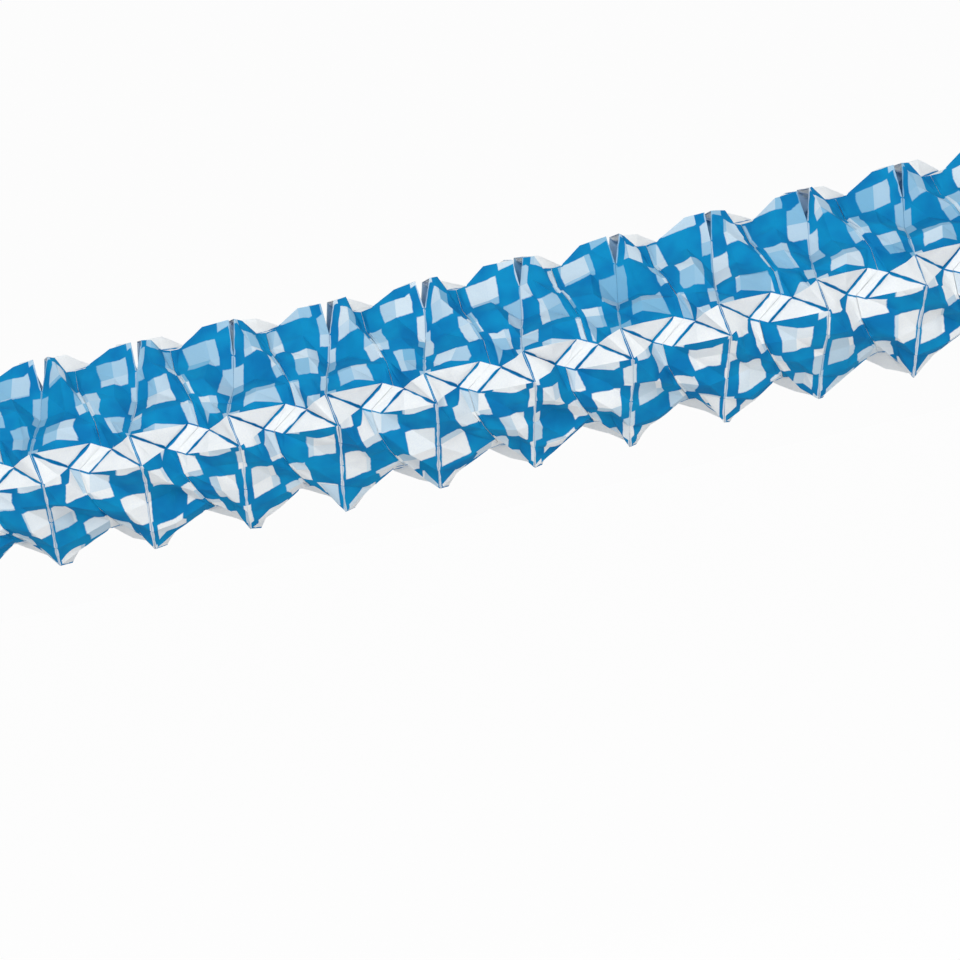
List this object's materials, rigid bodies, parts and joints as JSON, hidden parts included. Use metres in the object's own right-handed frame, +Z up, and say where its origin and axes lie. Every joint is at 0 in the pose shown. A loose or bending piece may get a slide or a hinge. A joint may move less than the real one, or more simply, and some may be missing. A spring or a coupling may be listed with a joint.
{
  "type": "tissue paper garland",
  "caption": "Bellows garland of lobed tissue sheets with a blue and white lozenge print, glued in pairs at lobe tips and middles, with a card disc at each end.",
  "frame": {"origin": "centre of the bounding box of the length of garland", "axes": "+X along the garland, -Y its side nearest the viewer, +Z up"},
  "size_m": [0.881, 0.1594, 0.168],
  "materials": {
    "printed_tissue": "matte thin tissue printed with blue and white lozenges",
    "end_card": "matte white card"
  },
  "bodies": {
    "root": {"tissue_sheet_01": "printed_tissue", "tissue_sheet_02": "printed_tissue", "tissue_sheet_03": "printed_tissue", "tissue_sheet_04": "printed_tissue", "tissue_sheet_05": "printed_tissue", "tissue_sheet_06": "printed_tissue", "tissue_sheet_07": "printed_tissue", "tissue_sheet_08": "printed_tissue", "tissue_sheet_09": "printed_tissue", "tissue_sheet_10": "printed_tissue", "tissue_sheet_11": "printed_tissue", "tissue_sheet_12": "printed_tissue", "tissue_sheet_13": "printed_tissue", "tissue_sheet_14": "printed_tissue", "tissue_sheet_15": "printed_tissue", "tissue_sheet_16": "printed_tissue", "tissue_sheet_17": "printed_tissue", "tissue_sheet_18": "printed_tissue", "tissue_sheet_19": "printed_tissue", "tissue_sheet_20": "printed_tissue", "tissue_sheet_21": "printed_tissue", "tissue_sheet_22": "printed_tissue", "tissue_sheet_23": "printed_tissue", "tissue_sheet_24": "printed_tissue", "end_card_left": "end_card", "end_card_right": "end_card"}
  },
  "joints": []
}
